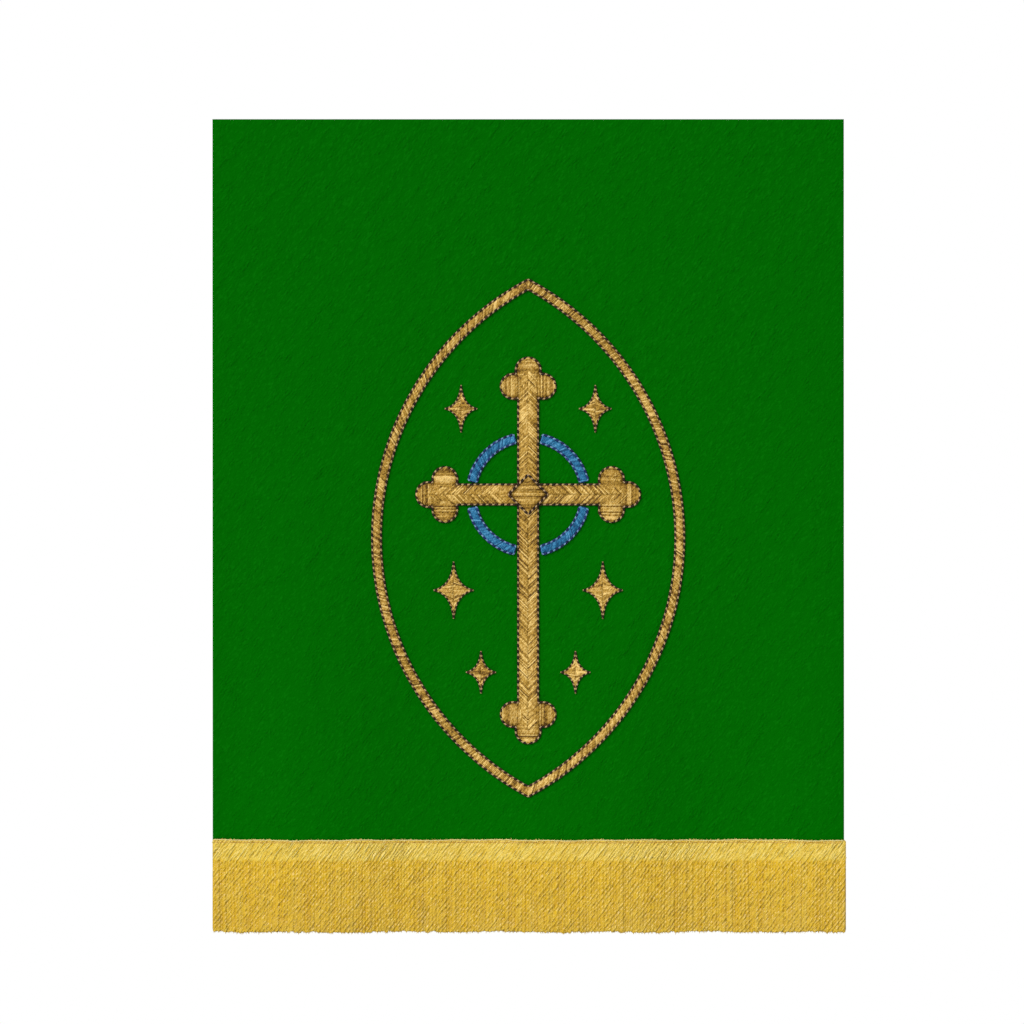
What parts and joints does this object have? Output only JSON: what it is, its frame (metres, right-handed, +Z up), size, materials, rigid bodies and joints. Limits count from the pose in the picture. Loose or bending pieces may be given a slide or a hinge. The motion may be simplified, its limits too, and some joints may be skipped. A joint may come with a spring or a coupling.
{
  "type": "lectern fall",
  "caption": "Hanging cloth panel for the front of a reading desk, with a sewn-on cross in a pointed oval and a fringed hem.",
  "frame": {"origin": "middle of the panel's top edge, where it is held", "axes": "+Z up, +X along the top edge to the viewer's right, -Y out of the face towards the viewer"},
  "size_m": [0.5094, 0.0169, 0.656],
  "materials": {
    "cloth": "matt heavy cloth with a fine slanting weave",
    "fringe": "soft sheen of twisted rayon yarn",
    "gold_thread": "satin stitch in gold thread with brown edging stitches",
    "blue_thread": "satin stitch in blue thread with navy edging stitches"
  },
  "bodies": {
    "root": {"panel": "cloth", "fringe": "fringe", "oval_band": "gold_thread", "cross": "gold_thread", "ring_1": "blue_thread", "ring_2": "blue_thread", "ring_3": "blue_thread", "ring_4": "blue_thread", "star_left_1": "gold_thread", "star_left_2": "gold_thread", "star_left_3": "gold_thread", "star_right_1": "gold_thread", "star_right_2": "gold_thread", "star_right_3": "gold_thread"}
  },
  "joints": []
}
